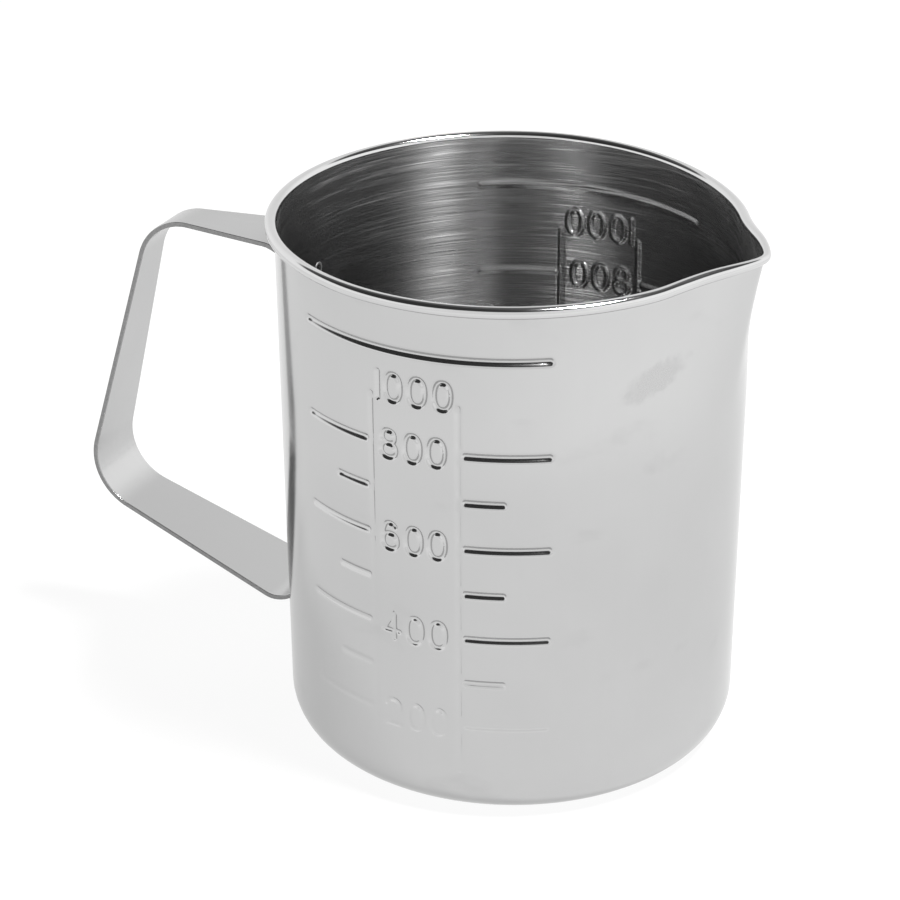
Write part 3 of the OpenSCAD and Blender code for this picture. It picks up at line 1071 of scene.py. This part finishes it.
# %% Recipe for the strip
handle_sizes = {
    "Stations": 260,
    "Columns": 13,
    "Bend points": 14,
    "Seat radius": seat_radius(arm_z),
    "Hug fades over": 5.5 * MM,
    "Steel": strip_steel,
}
handle_recipe, bench, line, size = new_recipe("bend_strip", handle_sizes)
bend = bench.named("bend")
width = bench.named("width")
path = bench.node("GeometryNodeMeshToCurve", {}, {"Mesh": line})
rounding = {"Curve": path, "Radius": bend, "Count": size["Bend points"], "Limit Radius": True}
bent = bench.node("GeometryNodeFilletCurve", {"mode": "POLY"}, rounding)
squares = {"Vertices X": size["Stations"], "Vertices Y": size["Columns"]}
grid = bench.node("GeometryNodeMeshGrid", {}, {"Size X": 1.0, "Size Y": 1.0, **squares})
grid_x, grid_y, _ = bench.split(bench.node("GeometryNodeInputPosition"))
along = {"Curves": bent, "Factor": grid_x + 0.5, "Value": width}
by_share = {"mode": "FACTOR", "data_type": "FLOAT"}
on_path = bench.node("GeometryNodeSampleCurve", by_share, along, "Position")
path_x, _, path_z = bench.split(on_path)
out = path_x * -1.0
side = grid_y * on_path.beside("Value")
hug = bench.ease(out - size["Seat radius"], 0.0, size["Hug fades over"], 1.0, 0.0)
sag = hug * (out - (out * out - side * side) ** 0.5)
on_strip = bench.join(sag - out, side, path_z)
laid = bench.node("GeometryNodeSetPosition", {}, {"Geometry": grid, "Position": on_strip})
close_recipe(bench, laid, size["Steel"])
print("strip recipe has", len(handle_recipe.nodes), "nodes")

# %% Bend the strip
EDGE_ROUND = 0.22 * MM
SHARP_ANGLE = math.radians(50)
follow(handle, handle_recipe, handle_sizes)
thick = handle.modifiers.new("strip", "SOLIDIFY")
thick.thickness = STRIP
thick.offset = 0.0
thick.use_even_offset = True
edge = handle.modifiers.new("edge", "BEVEL")
edge.width = EDGE_ROUND
edge.segments = 3
edge.limit_method = "ANGLE"
edge.angle_limit = SHARP_ANGLE
edge.harden_normals = True
handle_mesh = settle(handle)

# %% Sheared edges
EDGE_FACING = 0.8
sides = np.empty(len(handle_mesh.polygons) * 3)
handle_mesh.polygons.foreach_get("normal", sides)
handle_mesh.materials.clear()
handle_mesh.materials.append(strip_steel)
handle_mesh.materials.append(edge_steel)
on_edge = np.abs(sides.reshape(-1, 3)[:, 1]) > EDGE_FACING
handle_mesh.polygons.foreach_set("material_index", on_edge.astype(np.int32))
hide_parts("handle")
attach(handle, "root")
print("handle spans", [round(c / MM, 1) for c in handle_high - handle_low], "mm in the solids")

# %% [markdown]
# ## The spot welds
# Each end of the strip is held by two spot welds. A weld shows as a small round dimpled button on the
# inside of the wall and on the face of the strip. One button is turned from a short profile, and a
# recipe sets a copy at each place, facing out from the axis. Four buttons could be turned one by one,
# but copies stay alike. A place is a height and a run to either side of the strip's middle.

# %% Weld button
WELD_D = 3.3 * MM
WELD_SIDES = 24
PROUD = 0.06 * MM
DIMPLE = 0.02 * MM
weld_length = SHEET + SEAT_PLAY + STRIP
button_profile = [(0.0, -DIMPLE), (0.55, -DIMPLE / 2), (0.82, PROUD), (1.0, 0.0)]
ring_rows = [(share * WELD_D / 2, -rise) for share, rise in button_profile]
ring_rows += [(share * WELD_D / 2, weld_length + rise) for share, rise in reversed(button_profile)]
button_points = []
button_faces = []
for radius, height in ring_rows:
    for i in range(WELD_SIDES):
        turn = math.tau * i / WELD_SIDES
        button_points.append((radius * math.cos(turn), radius * math.sin(turn), height))
for row in range(len(ring_rows) - 1):
    for i in range(WELD_SIDES):
        a = row * WELD_SIDES + i
        b = row * WELD_SIDES + (i + 1) % WELD_SIDES
        button_faces.append((a, b, b + WELD_SIDES, a + WELD_SIDES))
button = new_thing("weld_button", button_points, [], button_faces)
print("weld button is", round(weld_length / MM, 2), "mm long")

# %% Set the welds
WELD_PLACES = [(103.8 * MM, 5.3 * MM), (29.9 * MM, 8.1 * MM)]
weld_sizes = {"Button": button, "Merge": 0.001 * MM, "Steel": weld_steel}
weld_recipe, bench, places, size = new_recipe("set_welds", weld_sizes)
spot_x, spot_y, _ = bench.split(bench.node("GeometryNodeInputPosition"))
outwards = bench.join(spot_x, spot_y, 0.0)
turned = bench.node("FunctionNodeAlignRotationToVector", {"axis": "Z"}, {"Vector": outwards})
shape = bench.node("GeometryNodeObjectInfo", {}, {"Object": size["Button"]}, "Geometry")
copies = {"Points": places, "Instance": shape, "Rotation": turned}
set_out = bench.node("GeometryNodeInstanceOnPoints", {}, copies)
whole = bench.node("GeometryNodeRealizeInstances", {}, {"Geometry": set_out})
merged = bench.node("GeometryNodeMergeByDistance", {}, {"Geometry": whole, "Distance": size["Merge"]})
close_recipe(bench, merged, size["Steel"])
spots = []
for z, run in WELD_PLACES:
    for side in (-1, 1):
        turn = math.pi + side * run / wall_radius(z)
        inner = wall_radius(z) - SHEET
        spots.append((inner * math.cos(turn), inner * math.sin(turn), z))
welds = new_thing("weld_buttons", spots)
follow(welds, weld_recipe, weld_sizes)
settle(welds)
bpy.data.objects.remove(button)
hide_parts("spot_welds")
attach(welds, "root")
